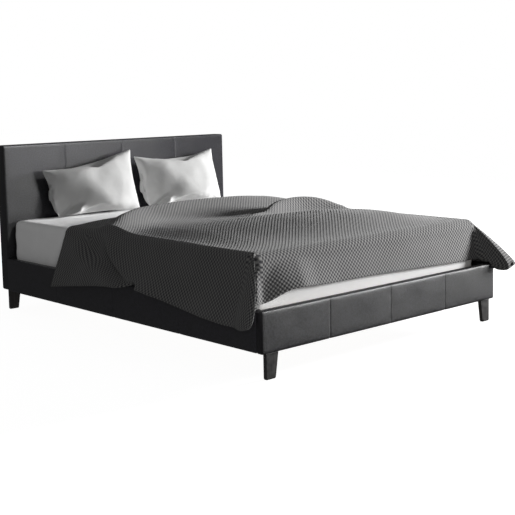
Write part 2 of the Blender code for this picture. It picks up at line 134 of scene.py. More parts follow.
class Nodes:
    """A node tree, emptied. All its nodes come from its node method."""

    def __init__(self, tree):
        self.tree = tree
        tree.nodes.clear()

    def node(self, kind, settings=None, values=None, out=0):
        made = self.tree.nodes.new("ShaderNode" + kind)
        for name, value in (settings or {}).items():
            setattr(made, name, value)
        for name, value in (values or {}).items():
            socket = made.inputs[name]
            if isinstance(value, Wire):
                self.tree.links.new(value.socket, socket)
            elif socket.type == "RGBA":
                socket.default_value = (*value, 1)
            elif socket.type == "VECTOR" and not hasattr(value, "__len__"):
                socket.default_value = (value,) * 3
            else:
                socket.default_value = value
        return Wire(self, made.outputs[out]) if made.outputs else None


class Finish(Nodes):
    """A material."""

    def __init__(self, name):
        self.material = bpy.data.materials.new(name)
        self.material.use_nodes = True
        super().__init__(self.material.node_tree)

    def place(self):
        return self.node("TexCoord", out="Object")

    def mixed(self, amount, first, second):
        return self.node("Mix", {"data_type": "RGBA"}, {0: amount, 6: first, 7: second}, out=2)

    def noise(self, place, scale, detail=3.0, roughness=0.5):
        return self.node("TexNoise", {}, {"Vector": place, "Scale": scale, "Detail": detail,
                                          "Roughness": roughness})

    def cells(self, place, scale, feature="F1", out=0):
        return self.node("TexVoronoi", {"feature": feature}, {"Vector": place, "Scale": scale}, out)

    def range(self, value, low, high, to_low, to_high):
        return self.node("MapRange", {}, {"Value": value, "From Min": low, "From Max": high,
                                          "To Min": to_low, "To Max": to_high})

    def bump(self, height, strength, distance):
        return self.node("Bump", {}, {"Height": height, "Strength": strength, "Distance": distance})

    def surface(self, **values):
        """Ends the material with its shader. A name's underscores stand for spaces."""
        named = {name.replace("_", " "): value for name, value in values.items()}
        self.node("OutputMaterial", {}, {"Surface": self.node("BsdfPrincipled", {}, named)})
        return self.material


world = bpy.data.worlds.new("room")
world.use_nodes = True
bpy.context.scene.world = world
sky = Nodes(world.node_tree)
seen, in_sheen = (sky.node("LightPath", out=ray) for ray in ("Is Camera Ray", "Is Glossy Ray"))
strength = seen * (SKY_SEEN - SKY_FILL) + SKY_FILL + in_sheen * (SKY_SHEEN - SKY_FILL)
sky.node("OutputWorld", {}, {
    "Surface": sky.node("Background", {}, {"Color": (1, 1, 1), "Strength": strength})})

floor_mesh = bpy.data.meshes.new("floor")
floor_mesh.from_pydata([(x * FLOOR_REACH, y * FLOOR_REACH, 0)
                        for x, y in ((-1, -1), (1, -1), (1, 1), (-1, 1))], [], [(0, 1, 2, 3)])
floor = bpy.data.objects.new("floor", floor_mesh)
bpy.context.scene.collection.objects.link(floor)
floor.visible_diffuse = False
floor.visible_glossy = False
paint = Finish("floor")
cloudy = paint.noise(paint.place(), 1.5)
floor_mesh.materials.append(paint.surface(
    Base_Color=paint.mixed(cloudy, (0.30, 0.30, 0.30), (0.34, 0.34, 0.34)),
    Roughness=0.9, Emission_Color=(1, 1, 1), Emission_Strength=0.95))


# Leather covers: charcoal hide with a fine pebbled grain, cut in four panels, sewn side by side
# and pulled over foam on the headboard, the side rails and the foot rail. The edges are turned in
# behind and stapled. Each seam pulls the padding into a narrow groove with small puckers.
PANELS = 4
GRID_STEP = 0.010
SEAM_DEPTH = 0.00140
SEAM_WIDTH = 0.0035
PUCKER_SPACING, PUCKER_REACH, PUCKER_DEPTH = 0.011, 0.012, 0.0005
SOFTNESS = 0.0009
HIDE_THICKNESS = 0.001
HEADBOARD_EDGE, HEADBOARD_CROWN, HEADBOARD_LIP = 0.012, 0.0025, 0.035
RAIL_EDGE, RAIL_CROWN, RAIL_LIP = 0.008, 0.0015, 0.030


def lines_between(low, high, radius, extra=(), step=GRID_STEP):
    """Places for a grid's lines along one edge: close together at the rounded ends and seams."""
    rounding = [0, 0.25 * radius, 0.6 * radius, radius]
    count = max(int(round((high - low - 2 * radius) / step)), 1)
    middle = [low + radius + (high - low - 2 * radius) * i / count for i in range(1, count)]
    close = [place + shift * SEAM_WIDTH for place in extra
             for shift in (-3, -2, -1, -0.4, 0, 0.4, 1, 2, 3)]
    middle = [m for m in middle if all(abs(m - place) > 4 * SEAM_WIDTH for place in extra)]
    return sorted([low + r for r in rounding] + middle + close + [high - r for r in rounding])


def rounded_shell(low, high, radius, lines):
    """A gridded box skin with rounded edges: points, quads, each point's outward direction."""
    counts = [len(places) for places in lines]
    index, points = {}, []

    def point(i, j, k):
        if (i, j, k) not in index:
            index[i, j, k] = len(points)
            points.append((lines[0][i], lines[1][j], lines[2][k]))
        return index[i, j, k]

    quads = []
    for axis in range(3):
        u, v = (axis + 1) % 3, (axis + 2) % 3
        for end in (0, counts[axis] - 1):
            for a in range(counts[u] - 1):
                for b in range(counts[v] - 1):
                    ring = []
                    for da, db in ((0, 0), (1, 0), (1, 1), (0, 1)):
                        at = [0, 0, 0]
                        at[axis], at[u], at[v] = end, a + da, b + db
                        ring.append(point(*at))
                    quads.append(ring if end else ring[::-1])
    points = np.array(points)
    low, high = np.array(low), np.array(high)
    core = np.clip(points, low + radius, high - radius)
    away = points - core
    away /= np.maximum(np.linalg.norm(away, axis=1, keepdims=True), 1e-9)
    return core + away * radius, quads, away


def wavy(points, scale, seed):
    """Smooth random heights from -1 to 1, a wave every scale metres."""
    shift = Vector((seed * 7.3, seed * 3.1, seed * 5.7))
    return np.array([noise.noise(Vector(p) / scale + shift) for p in points])


def piece(name, points, quads, material, body):
    mesh = bpy.data.meshes.new(name)
    mesh.from_pydata([tuple(p) for p in points], [], [tuple(q) for q in quads])
    mesh.validate()
    mesh.polygons.foreach_set("use_smooth", [True] * len(mesh.polygons))
    mesh.materials.append(material)
    made = bpy.data.objects.new(name, mesh)
    bpy.context.scene.collection.objects.link(made)
    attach(made, body)
    return made


def thickened(made, thickness):
    """Gives a skin its thickness, inwards."""
    solid = made.modifiers.new("thickness", "SOLIDIFY")
    solid.thickness = thickness
    solid.offset = -1.0
    return made


def only_on(light, *pieces):
    """Keeps a lamp's light to these pieces."""
    lit = bpy.data.collections.new(light.name + "_lit")
    for each in pieces:
        lit.objects.link(each)
    light.light_linking.receiver_collection = lit


paint = Finish("leather")
place = paint.place()
pebbles = paint.cells(place, 520.0, "DISTANCE_TO_EDGE")
creases = paint.noise(place, 70.0, 4.0)
mottle = paint.noise(place, 130.0, 2.0)
broad = paint.noise(place, 6.0, 3.0)
grain = paint.range(pebbles, 0.0, 0.35, 0.0, 1.0) * 0.5 + creases * 0.5
hide = paint.mixed(paint.range(mottle, 0.35, 0.65, 0.0, 1.0), (0.020, 0.020, 0.022), (0.038, 0.037, 0.046))
hide = paint.mixed(paint.range(broad, 0.4, 0.7, 0.0, 0.35), hide, (0.040, 0.039, 0.040))
leather = paint.surface(
    Base_Color=hide, Roughness=paint.range(mottle + broad * 0.6, 0.5, 1.1, 0.36, 0.52),
    Normal=paint.bump(grain, 0.35, 0.0012), Specular_IOR_Level=0.55)


def leather_cover(node, thin, mouth, seam_axis, radius, crown, lip, open_ends=False):
    """thin is the axis through the cover and mouth its open side, 1 or -1."""
    low, high = (np.array(corner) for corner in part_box(node))
    length = high[seam_axis] - low[seam_axis]
    seams = [low[seam_axis] + length * i / PANELS for i in range(1, PANELS)]
    lines = [lines_between(low[a], high[a], radius, seams if a == seam_axis else ())
             for a in range(3)]
    points, quads, away = rounded_shell(low, high, radius, lines)
    # The panels swell between their seams and edges, on the face opposite the mouth.
    along = (points[:, seam_axis] - low[seam_axis]) / length * PANELS
    in_panel = along - np.floor(np.clip(along, 0, PANELS - 1e-6))
    rise = np.clip((points[:, 2] - low[2]) / (high[2] - low[2]), 0, 1)
    swell = (1 - np.abs(2 * in_panel - 1) ** 6) * (1 - np.abs(2 * rise - 1) ** 8)
    soft = wavy(points * np.where(np.arange(3) == thin, 0.3, 1.0), 0.11, 1)
    near = np.min([np.abs(points[:, seam_axis] - s) for s in seams], axis=0)
    pucker = np.sin(points[:, 2] / PUCKER_SPACING + 3 * soft) * np.exp(-near / PUCKER_REACH) * PUCKER_DEPTH
    groove = -SEAM_DEPTH * np.exp(-(near / SEAM_WIDTH) ** 2)
    face = -mouth * away[:, thin] > 0.5
    out = np.where(face, crown * (swell - 0.3) + SOFTNESS * soft * swell, 0) + pucker
    outer = away[:, thin] * mouth < 0.5
    points = points + away * (np.where(outer, out + groove, 0))[:, None]
    # The mouth is left open inside a turned-in edge, and a side rail's skin is open at its ends.
    back = (high if mouth > 0 else low)[thin]
    half_way = (low[seam_axis] + high[seam_axis]) / 2
    kept = []
    for ring in quads:
        centre = points[ring].mean(axis=0)
        behind = abs(centre[thin] - back) < 1e-4
        inside = all(low[a] + lip < centre[a] < high[a] - lip for a in range(3)
                     if a != thin and not (open_ends and a == seam_axis))
        end = open_ends and abs(abs(centre[seam_axis] - half_way) - length / 2) < 1e-4
        if not (behind and inside or end):
            kept.append(ring)
    used = sorted({i for ring in kept for i in ring})
    new = {old: i for i, old in enumerate(used)}
    made = piece(node + "_hide", points[used], [[new[i] for i in ring] for ring in kept],
                 leather, "bed_frame")
    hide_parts(node)
    return thickened(made, HIDE_THICKNESS)


rail_sizes = (RAIL_EDGE, RAIL_CROWN, RAIL_LIP)
headboard_hide = leather_cover("headboard_cover", 1, 1, 0, HEADBOARD_EDGE, HEADBOARD_CROWN, HEADBOARD_LIP)
foot_rail_hide = leather_cover("foot_rail_cover", 1, 1, 0, *rail_sizes)
side_rail_hide = leather_cover("side_rail_cover_left", 0, 1, 1, *rail_sizes, True)
leather_cover("side_rail_cover_right", 0, -1, 1, *rail_sizes, True)

# Three lamps that show only as gloss: two on the headboard, one on the foot rail and front legs.
head_sheen = lamp("head_sheen", 27, 24, 1.34, 0.6, 27)
head_sheen.visible_camera = False
head_sheen.visible_diffuse = False
only_on(head_sheen, headboard_hide)
head_streak = lamp("head_streak", 12, 50, LAMP_REACH, 0.7, 800)
head_streak.visible_diffuse = False
only_on(head_streak, headboard_hide)
rail_sheen = lamp("rail_sheen", 46, 14, LAMP_REACH, 2.2, 640)
rail_sheen.visible_diffuse = False
only_on(rail_sheen, foot_rail_hide, *[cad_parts["leg_front_" + side] for side in ("left", "right")])


# Inside the headboard and rails: a foam pad over a thin board on a pine frame, with black
# non-woven cloth stapled over the back. The rails are wrapped particle board.
def dress(material, *nodes):
    """Gives these carried-over pieces a finish."""
    for node in nodes:
        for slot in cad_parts[node].material_slots:
            slot.material = material


paint = Finish("foam")
place = paint.place()
cells = paint.cells(place, 600.0)
tone = paint.noise(place, 9.0)
dress(paint.surface(
    Base_Color=paint.mixed(tone, (0.74, 0.69, 0.52), (0.83, 0.79, 0.66)),
    Roughness=paint.range(cells, 0.0, 0.6, 0.95, 0.8),
    Normal=paint.bump(cells, 0.5, 0.001)),
    "headboard_foam")

paint = Finish("lining")
place = paint.place()
dots = paint.cells(place, 330.0)
spots = paint.range(dots, 0.0, 0.5, 0.0, 1.0)
dress(paint.surface(
    Base_Color=paint.mixed(spots, (0.012, 0.012, 0.014), (0.035, 0.035, 0.038)),
    Roughness=paint.range(paint.noise(place, 25.0), 0.3, 0.7, 0.8, 0.95),
    Normal=paint.bump(dots, 0.4, 0.0005)),
    "headboard_lining")

paint = Finish("board")
place = paint.place()
chip = paint.node("SeparateColor", {}, {0: paint.cells(place, 260.0, out="Color")})
dress(paint.surface(
    Base_Color=paint.mixed(chip, (0.30, 0.20, 0.12), (0.52, 0.40, 0.26)),
    Roughness=paint.range(chip, 0.0, 1.0, 0.7, 0.9),
    Normal=paint.bump(chip, 0.3, 0.0006)),
    "headboard_panel", "side_rail_board_left", "side_rail_board_right", "foot_rail_board")


def pine(name, axis):
    """Planed pine with its grain along one axis."""
    paint = Finish(name)
    place = paint.place()
    squeeze = tuple(1.2 if a == axis else 26.0 for a in range(3))
    growth = paint.noise(place * squeeze, 1.0, 4.0, 0.6)
    rings = (growth * 34.0).sine()
    fibre = paint.noise(place * tuple(8.0 if a == axis else 900.0 for a in range(3)), 1.0, 2.0)
    wood = paint.mixed(paint.range(rings, -1.0, 1.0, 0.0, 0.75), (0.66, 0.47, 0.27), (0.47, 0.29, 0.14))
    wood = paint.mixed(paint.range(fibre, 0.3, 0.7, 0.0, 0.3), wood, (0.72, 0.55, 0.35))
    return paint.surface(
        Base_Color=wood, Roughness=paint.range(rings, -1.0, 1.0, 0.62, 0.5),
        Normal=paint.bump(fibre + rings * 0.3, 0.25, 0.0005))


pine_across = pine("pine_across", 0)
pine_along = pine("pine_along", 1)
pine_up = pine("pine_up", 2)
dress(pine_across, "headboard_bottom_batten", "headboard_top_batten")
dress(pine_up, "headboard_post_left", "headboard_post_right")
dress(pine_along, "slat_ledge_left", "slat_ledge_right")


# Legs: four tapered solid wood legs, stained near black and lacquered satin, screwed up into the
# frame with a steel stud, each on a thin black plastic glide.
CORNERS = ("front_left", "front_right", "rear_left", "rear_right")

paint = Finish("dark_wood")
place = paint.place()
streaks = paint.noise(place * (160.0, 160.0, 9.0), 1.0, 5.0, 0.6)
wear = paint.noise(place, 60.0, 3.0)
stain = paint.range(streaks, 0.35, 0.7, 0.0, 1.0)
dress(paint.surface(
    Base_Color=paint.mixed(stain, (0.050, 0.048, 0.049), (0.100, 0.094, 0.092)),
    Roughness=paint.range(wear, 0.3, 0.7, 0.32, 0.5),
    Normal=paint.bump(streaks, 0.2, 0.0005)),
    *["leg_" + corner for corner in CORNERS])

paint = Finish("plastic")
place = paint.place()
speckle = paint.noise(place, 900.0, 2.0)
dress(paint.surface(
    Base_Color=paint.mixed(speckle, (0.012, 0.012, 0.012), (0.026, 0.026, 0.026)),
    Roughness=paint.range(speckle, 0.3, 0.7, 0.5, 0.65),
    Normal=paint.bump(speckle, 0.2, 0.0003)),
    *["leg_glide_" + corner for corner in CORNERS])


# Steel fittings: pressed corner brackets with their bolts, centre rail hangers and leg studs.
# All are zinc plated, and the plating shows its broad crystals.
paint = Finish("steel")
place = paint.place()
shade = paint.node("SeparateColor", {}, {0: paint.cells(place, 180.0, out="Color")})
dress(paint.surface(
    Base_Color=paint.mixed(shade, (0.50, 0.51, 0.52), (0.62, 0.63, 0.66)), Metallic=1.0,
    Roughness=paint.range(shade, 0.0, 1.0, 0.28, 0.45),
    Normal=paint.bump(paint.noise(place, 400.0), 0.1, 0.0003)),
    *[f"{end}_{kind}_{side}" for end in ("foot", "head") for kind in ("bracket", "bolt")
      for side in ("left", "right")],
    *["leg_stud_" + corner for corner in CORNERS],
    "centre_hanger_foot", "centre_hanger_head")


# Sleeping base: twelve pine slats on two webbing straps, laid on the rails' ledges and on a
# centre rail with two short legs.
dress(pine_across, *[f"slat_{i:02d}" for i in range(1, 13)])
dress(pine_along, "centre_rail")
dress(pine_up, "centre_leg_1", "centre_leg_2")

paint = Finish("webbing")
place = paint.place()
x, y, z = place.parts()
ribs = (x * 1800.0).sine() * 0.5 + (y * 1400.0).sine() * 0.5
dress(paint.surface(
    Base_Color=paint.mixed(paint.range(ribs, -1.0, 1.0, 0.0, 1.0), (0.50, 0.48, 0.42), (0.74, 0.72, 0.66)),
    Roughness=paint.range(ribs, -1.0, 1.0, 0.95, 0.8),
    Normal=paint.bump(ribs, 0.5, 0.0006)),
    "slat_strap_left", "slat_strap_right")


# Mattress: a sprung mattress in a fitted white cotton sheet. The sheet is stretched over it with
# elastic below, so its top is slightly crowned, its corners are round and its sides crease a little.
MATTRESS_RADIUS = 0.034
MATTRESS_CROWN = 0.004
MATTRESS_STEP = 0.016
SIDE_BULGE = 0.003
CORNER_PULL, CORNER_REACH = 0.0016, 0.10
HEM_UP, HEM_WIDTH, HEM_DEPTH = 0.030, 0.004, 0.002
SHEET_INSET = 0.003
SHEET_THREADS = 2600.0        # threads' turn per metre, in radians

low, high = (np.array(corner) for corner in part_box("mattress"))
lines = [lines_between(low[a], high[a], MATTRESS_RADIUS, (), MATTRESS_STEP) for a in range(3)]
points, quads, away = rounded_shell(low, high, MATTRESS_RADIUS, lines)
middle, half = (low + high) / 2, (high - low) / 2
reach = np.abs((points - middle) / half)
top = np.clip(away[:, 2], 0, 1)
side = 1 - np.abs(away[:, 2])
crown = MATTRESS_CROWN * top * (1 - reach[:, 0] ** 4) * (1 - reach[:, 1] ** 4)
bulge = SIDE_BULGE * side * (1 - reach[:, 2] ** 2)
from_corner = np.linalg.norm((half[:2] - np.abs(points - middle)[:, :2]), axis=1)
pulls = (np.sin(points[:, 2] / 0.016 + points[:, 0] * 20 - points[:, 1] * 16)
         * np.exp(-from_corner / CORNER_REACH) * CORNER_PULL * side)
ripple = wavy(points * (1.0, 1.0, 2.2), 0.13, 2) * 0.0016
hem = -HEM_DEPTH * np.exp(-((points[:, 2] - low[2] - HEM_UP) / HEM_WIDTH) ** 2) * side
points = points + away * (crown + bulge + pulls + ripple + hem - SHEET_INSET)[:, None]
points[:, 2] = np.maximum(points[:, 2], low[2])

paint = Finish("sheet")
place = paint.place()
x, y, z = place.parts()
threads = (x * SHEET_THREADS).sine() * (y * SHEET_THREADS + z * SHEET_THREADS).sine()
soft = paint.noise(place, 14.0, 4.0)
sheet_cotton = paint.surface(
    Base_Color=paint.mixed(soft, (0.82, 0.82, 0.82), (0.90, 0.90, 0.90)),
    Roughness=paint.range(soft, 0.3, 0.7, 0.85, 0.95),
    Normal=paint.bump(threads * 0.15 + soft, 0.3, 0.002), Sheen_Weight=0.15)
mattress = piece("mattress_in_sheet", points, quads, sheet_cotton, "mattress")
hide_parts("mattress")


# Pillows: two soft pillows in plain white cotton cases, leaning on the headboard. Each case is two
# flat pieces sewn round and filled, so it swells from the seam and its lower left corner folds under.
CASE_WIDTH, CASE_HEIGHT = 0.62, 0.40                 # cut size
CASE_CELLS = (46, 30)
CASE_SEAM = 0.004
CASE_LOFT = 0.042
PILLOW_PRESSURE = 1.6
PILLOW_CAP = 0.040            # farthest that the filling moves a point
PILLOW_HEIGHT, PILLOW_DEPTH = 0.337, 0.172           # filled size
PILLOW_GAP = 0.003            # above the mattress
HEADBOARD_GAP = 0.004
TUCK = 0.075
CASE_THREADS = 2200.0

paint = Finish("pillow_cotton")
place = paint.place()
x, y, z = place.parts()
threads = (x * CASE_THREADS).sine() * (z * CASE_THREADS).sine()
soft = paint.noise(place, 22.0, 4.0)
pillow_cotton = paint.surface(
    Base_Color=paint.mixed(soft, (0.60, 0.60, 0.595), (0.68, 0.68, 0.675)),
    Roughness=paint.range(soft, 0.3, 0.7, 0.85, 0.95),
    Normal=paint.bump(threads * 0.12 + soft, 0.35, 0.003), Sheen_Weight=0.15)


def filled_case(name, width, height):
    """Two layers sewn round their edges and blown up, lying flat about the origin."""
    across, up = CASE_CELLS
    points, quads, index = [], [], {}
    for layer in (1, -1):
        for j in range(up + 1):
            for i in range(across + 1):
                rim = i in (0, across) or j in (0, up)
                spot = (i, j, 0 if rim else layer)
                if spot in index:
                    continue
                index[spot] = len(points)
                u, v = i / across * 2 - 1, j / up * 2 - 1
                # The case's sides curve in between its corners.
                x = u * width / 2 * (1 - 0.035 * (1 - v * v))
                y = v * height / 2 * (1 - 0.06 * (1 - u * u))
                loft = CASE_LOFT * (1 - u ** 4) * (1 - v ** 4)
                points.append((x, y, 0 if rim else layer * (CASE_SEAM + loft)))
        for j in range(up):
            for i in range(across):
                ring = []
                for a, b in ((i, j), (i + 1, j), (i + 1, j + 1), (i, j + 1)):
                    rim = a in (0, across) or b in (0, up)
                    ring.append(index[a, b, 0 if rim else layer])
                quads.append(ring if layer > 0 else ring[::-1])
    mesh = bpy.data.meshes.new(name)
    mesh.from_pydata(points, [], quads)
    made = bpy.data.objects.new(name, mesh)
    bpy.context.scene.collection.objects.link(made)
    start = np.array(points)
    cloth = made.modifiers.new("cloth", "CLOTH")
    cloth.settings.quality = 6
    cloth.settings.mass = 0.3
    cloth.settings.tension_stiffness = 25
    cloth.settings.compression_stiffness = 25
    cloth.settings.bending_stiffness = 0.6
    cloth.settings.use_pressure = True
    cloth.settings.uniform_pressure_force = PILLOW_PRESSURE
    cloth.settings.effector_weights.gravity = 0
    for step in range(1, 21):
        bpy.context.scene.frame_set(step)
    graph = bpy.context.evaluated_depsgraph_get()
    settled = np.array([v.co for v in made.evaluated_get(graph).data.vertices])
    bpy.context.scene.frame_set(1)
    move = settled - start
    far = np.maximum(np.linalg.norm(move, axis=1, keepdims=True) / PILLOW_CAP, 1)
    settled = start + move / far
    bpy.data.objects.remove(made)
    bpy.data.meshes.remove(mesh)
    return settled, quads


def smooth_step(value, low, high):
    t = np.clip((value - low) / (high - low), 0, 1)
    return t * t * (3 - 2 * t)


case, case_quads = filled_case("pillow_case", CASE_WIDTH, CASE_HEIGHT)
headboard_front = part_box("headboard_cover")[0][1]
mattress_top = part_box("mattress")[1][2]

for word, droop, lean, seed in (("left", -0.060, 15, 4), ("right", -0.012, 16, 9)):
    node = "pillow_" + word
    low, high = (np.array(corner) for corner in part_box(node))
    body = case.copy()
    size = body.max(axis=0) - body.min(axis=0)
    body -= (body.max(axis=0) + body.min(axis=0)) / 2
    # It stands on its lower seam, which lies straight along the mattress.
    seam = body[:CASE_CELLS[0] + 1]
    sag = np.interp(body[:, 0], seam[:, 0], seam[:, 1]) - body[:, 1].min()
    body[:, 1] -= sag * smooth_step(-body[:, 1] / size[1], -0.15, 0.5)
    body *= ((high[0] - low[0]) / size[0], PILLOW_HEIGHT / size[1], PILLOW_DEPTH / size[2])
    u, v = body[:, 0] / (CASE_WIDTH / 2), body[:, 1] / (PILLOW_HEIGHT / 2)
    # The lower left corner is pushed back, which leaves a slope facing left and down.
    tucked = smooth_step(-(u + 0.10) - 0.42 * (v - 0.1), 0.0, 0.85) * smooth_step(-v, -1.1, 0.5)
    front = body[:, 2] > 0
    body[:, 2] -= np.where(front, TUCK, 0.0) * tucked * np.clip(1 - v ** 6, 0, 1)
    # The fill sinks: the lower part is fuller than the top edge.
    body[:, 2] *= 1 + 0.22 * np.clip(-v, -0.6, 0.7)
    # Small creases run in from the seam and across the lower left fold.
    edge = 1 - np.clip(np.maximum(np.abs(u), np.abs(v)), 0, 1)
    along = np.where(np.abs(u) > np.abs(v), body[:, 1], body[:, 0])
    crease = np.sin(along / 0.0085 + 4 * wavy(body, 0.09, seed)) * np.exp(-edge / 0.09) * edge * 0.030
    body[:, 2] += np.where(front, 1, -1) * crease
    body[:, 2] += wavy(body, 0.10, seed + 1) * 0.006 * smooth_step(edge, 0.0, 0.4)
    fold = (body[:, 1] + 0.120) - 0.42 * (body[:, 0] + 0.155)
    on_fold = smooth_step(-body[:, 0], 0.09, 0.15) * front
    body[:, 2] -= 0.030 * np.exp(-(fold / 0.012) ** 2) * on_fold
    body[:, 2] += 0.026 * np.exp(-((fold + 0.030) / 0.022) ** 2) * on_fold
    # Stand it up: its own height becomes z, its front faces the foot, and it leans back.
    lean = math.radians(lean)
    x = body[:, 0]
    z = body[:, 1] * math.cos(lean) + body[:, 2] * math.sin(lean)
    y = body[:, 1] * math.sin(lean) - body[:, 2] * math.cos(lean)
    turn = droop * np.clip(-u, -0.5, 1)
    z = z + turn * smooth_step(v, -0.4, 1.0)
    z = mattress_top + PILLOW_GAP + z - z.min()
    x = x + (low[0] + high[0]) / 2
    x = x + 0.045 * smooth_step(-v, 0.1, 1.0) * smooth_step(-u, 0.2, 1.0)
    y = y - y.max() + headboard_front - HEADBOARD_GAP
    standing = piece(node + "_case", np.stack([x, y, z], axis=1), case_quads, pillow_cotton,
                     node)
    extra = standing.modifiers.new("smooth", "SUBSURF")
    extra.levels = extra.render_levels = 1
    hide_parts(node)


# Coverlet: one thick knitted charcoal sheet laid over the mattress and left unstraightened. Its
# sides hang outside the rails, its foot end above the foot rail, and its two foot corners hang in
# loose cones. A pleat crosses the left side, and the head end is pushed up in a roll and an arch.
COVERLET_THICKNESS = 0.007
COVERLET_LENGTH = 1.66        # over the mattress, from the foot rail's front
GRID = 0.0095
REST_HEIGHT = 0.0035          # underside above the mattress
SHOULDER = 0.035              # top's inset from the mattress edge where the sheet starts to turn down
KNEE = 0.55                   # share of the way up from the hem to the shoulder where the drop bends
LEVELS = 36                   # points down a column
FAN = 54                      # columns round a corner
SIDE_OUT = 0.858              # a side's hem, from the bed's middle
KEPT_OFF = 0.004              # clear air under the sheet
FAR_OFF = 9.0
KNIT_CELL = 0.0205
foot_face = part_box("foot_rail_cover")[0][1]
rail_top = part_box("foot_rail_cover")[1][2]
rail_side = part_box("side_rail_cover_right")[1][0]
bed_low, bed_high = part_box("mattress")
edge_x = bed_high[0]
edge_y = bed_low[1]
rest_z = mattress_top + REST_HEIGHT + COVERLET_THICKNESS
head_y = foot_face + COVERLET_LENGTH


def ridge(x, y, line, near, far):
    """A soft ridge across the bed. line holds x, distance from the foot rail's front, height."""
    xs, ys, heights = zip(*line)
    along, high = (sum(np.interp(x + shift, xs, each) for shift in (-0.06, -0.03, 0, 0.03, 0.06)) / 5
                   for each in (ys, heights))
    gap = y - foot_face - along
    width = np.where(gap < 0, near, far)
    return high * np.exp(-(gap / width) ** 2)


def lift(x, y):
    """How far the sheet stands off the mattress top."""
    crest = ridge(x, y, ((-0.76, 0.90, 0.0), (-0.60, 0.76, 0.016), (-0.35, 0.64, 0.040),
                         (-0.10, 0.54, 0.060), (0.15, 0.48, 0.072), (0.38, 0.44, 0.060),
                         (0.66, 0.40, 0.0)), 0.34, 0.42)
    roll = ridge(x, y, ((-0.82, 1.12, 0.022), (-0.70, 1.21, 0.036), (-0.55, 1.34, 0.052),
                        (-0.36, 1.46, 0.066), (0.0, 1.50, 0.074), (0.38, 1.48, 0.070),
                        (0.62, 1.46, 0.050), (0.80, 1.40, 0.010)), 0.13, 0.10)
    arch = ridge(x, y, ((-0.05, 0.94, 0.0), (0.10, 0.99, 0.028), (0.28, 1.05, 0.064),
                        (0.46, 1.08, 0.082), (0.62, 1.05, 0.068), (0.76, 0.98, 0.0)), 0.038, 0.13)
    furrow = ridge(x, y, ((0.02, 1.00, 0.0), (0.12, 1.01, -0.030), (0.24, 1.12, -0.020),
                          (0.34, 1.2, 0.0)), 0.05, 0.05)
    swell = 0.003 * (np.sin(3.1 * x + 1.3 * y) * np.sin(2.3 * y - 1.1) + 1)
    edge = smooth_step(edge_x - SHOULDER + 0.01 - np.abs(x), 0.0, 0.20)
    foot = smooth_step(y - edge_y, SHOULDER, 0.25)
    return np.maximum(crest * foot + roll + arch + furrow + swell * edge * foot, 0)


class Sheet:
    """Points of the coverlet with each one's place on the flat cloth."""

    def __init__(self):
        self.points, self.flat, self.quads = [], [], []

    def grid(self, rows):
        """rows of (point, flat place) pairs. Rows are joined to make quads."""
        first = len(self.points)
        width = len(rows[0])
        for row in rows:
            for point, flat in row:
                self.points.append(point)
                self.flat.append(flat)
        for j in range(len(rows) - 1):
            for i in range(width - 1):
                a = first + j * width + i
                self.quads.append((a, a + 1, a + width + 1, a + width))


def eased(k):
    """Crowds a column's points towards its top, where it bends."""
    return k * (0.62 + 0.38 * k)


def curve_shares(k):
    """How much each of a curve's four controls counts at k."""
    return (1 - k) ** 3, 3 * k * (1 - k) ** 2, 3 * k * k * (1 - k), k ** 3


def hung(start, out, shoulder, hem, cloth_start, cloth_out, lift_z):
    """One column of the skirt: from the top's edge over the shoulder and down to the hem."""
    k = eased(np.linspace(0, 1, LEVELS)[:, None])
    controls = (start, start + out * SHOULDER, hem + (shoulder - hem) * KNEE, hem)
    line = sum(control[None, :] * share for control, share in zip(controls, curve_shares(k)))
    line[:, 2] += lift_z * (1 - smooth_step(k[:, 0], 0.0, 0.6))
    run = np.concatenate([[0], np.cumsum(np.linalg.norm(np.diff(line, axis=0), axis=1))])
    flat = np.array(cloth_start)[None, :] + np.array(cloth_out)[None, :] * run[:, None]
    return list(zip(line, flat))


def side_hem(y, side):
    """Where a side's hem hangs for a start at y: across, along, up."""
    far = y - foot_face
    if side < 0:
        height = np.interp(far, (0.05, 0.20, 0.34, 0.55, 0.76, 0.90, 1.20, 1.58),
                           (0.220, 0.220, 0.231, 0.263, 0.300, 0.297, 0.262, 0.208))
    else:
        height = 0.240 + 0.012 * math.sin(4.2 * far)
    pulled = y + 0.035 * smooth_step(far, 0.8, 1.6) ** 2
    return np.array((side * SIDE_OUT, pulled, height))


inset_x = edge_x - SHOULDER
inset_y = edge_y + SHOULDER
n_x = int(round(2 * inset_x / GRID))
n_y = int(round((head_y - inset_y) / GRID))
across = np.linspace(-inset_x, inset_x, n_x + 1)
down = np.linspace(inset_y, head_y, n_y + 1)
sheet = Sheet()


def head_edge(x):
    return head_y + 0.02 * np.sin(2.2 * x + 0.4) - 0.10 * smooth_step(-x, 0.40, 0.76)


rows = []
for y in down:
    share = (y - inset_y) / (head_y - inset_y)
    row_y = inset_y + (head_edge(across) - inset_y) * share
    row_z = rest_z + lift(across, row_y)
    rows.append([(np.array(point), np.array((point[0], y))) for point in zip(across, row_y, row_z)])
sheet.grid(rows)

